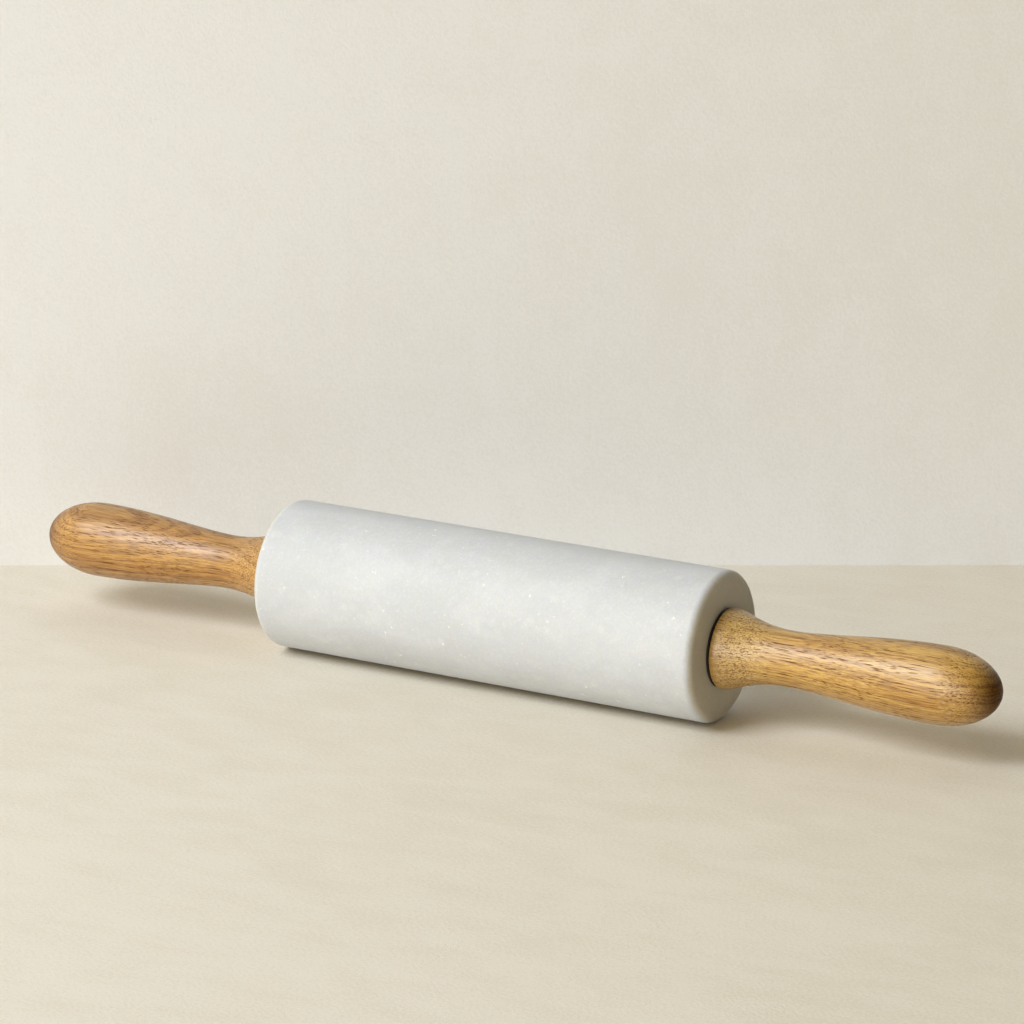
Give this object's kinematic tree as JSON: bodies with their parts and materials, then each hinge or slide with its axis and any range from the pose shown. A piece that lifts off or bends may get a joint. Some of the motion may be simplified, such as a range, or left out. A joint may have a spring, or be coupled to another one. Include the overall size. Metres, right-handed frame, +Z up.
{
  "type": "rolling pin",
  "caption": "Rolling pin: a smooth white marble cylinder that spins on a through axle between two turned oak handles, each flared at its base and swelling to a rounded end.",
  "frame": {"origin": "middle of the marble barrel, on the axle's centre line", "axes": "+X along the axle towards the right handle, +Z up; the pin is symmetric end for end, and it rests on the barrel's lowest line at Z = -30 mm"},
  "size_m": [0.4276, 0.06, 0.06],
  "materials": {
    "marble": "satin",
    "oak": "satin",
    "axle_steel": "satin",
    "spring_steel": "satin",
    "bearing_steel": "polished",
    "shield_steel": "satin",
    "brass": "satin",
    "cup_nylon": "matte",
    "cage_nylon": "satin"
  },
  "bodies": {
    "axle": {"axle_rod": "axle_steel", "right_handle": "oak", "left_handle": "oak", "right_handle_insert": "brass", "left_handle_insert": "brass", "right_axle_spacer": "axle_steel", "left_axle_spacer": "axle_steel", "right_retaining_ring": "spring_steel", "left_retaining_ring": "spring_steel", "right_bearing_inner_ring": "bearing_steel", "left_bearing_inner_ring": "bearing_steel"},
    "barrel": {"barrel": "marble", "right_bearing_cup": "cup_nylon", "left_bearing_cup": "cup_nylon", "right_bearing_outer_ring": "bearing_steel", "left_bearing_outer_ring": "bearing_steel", "right_bearing_shields": "shield_steel", "left_bearing_shields": "shield_steel"},
    "right_ball_set": {"right_bearing_balls": "bearing_steel", "right_bearing_cage": "cage_nylon"},
    "left_ball_set": {"left_bearing_balls": "bearing_steel", "left_bearing_cage": "cage_nylon"}
  },
  "joints": [
    {"name": "barrel_spin", "type": "hinge", "parent": "axle", "child": "barrel", "pos_m": [0, 0, 0], "axis": [1, 0, 0], "continuous": true},
    {"name": "right_ball_set_orbit", "type": "hinge", "parent": "axle", "child": "right_ball_set", "pos_m": [0.0935, 0, 0], "axis": [1, 0, 0], "continuous": true},
    {"name": "left_ball_set_orbit", "type": "hinge", "parent": "axle", "child": "left_ball_set", "pos_m": [-0.0935, 0, 0], "axis": [1, 0, 0], "continuous": true}
  ],
  "couplings": [
    {"joint": "right_ball_set_orbit", "follows": "barrel_spin", "ratio": 0.63227},
    {"joint": "left_ball_set_orbit", "follows": "barrel_spin", "ratio": 0.63227}
  ]
}
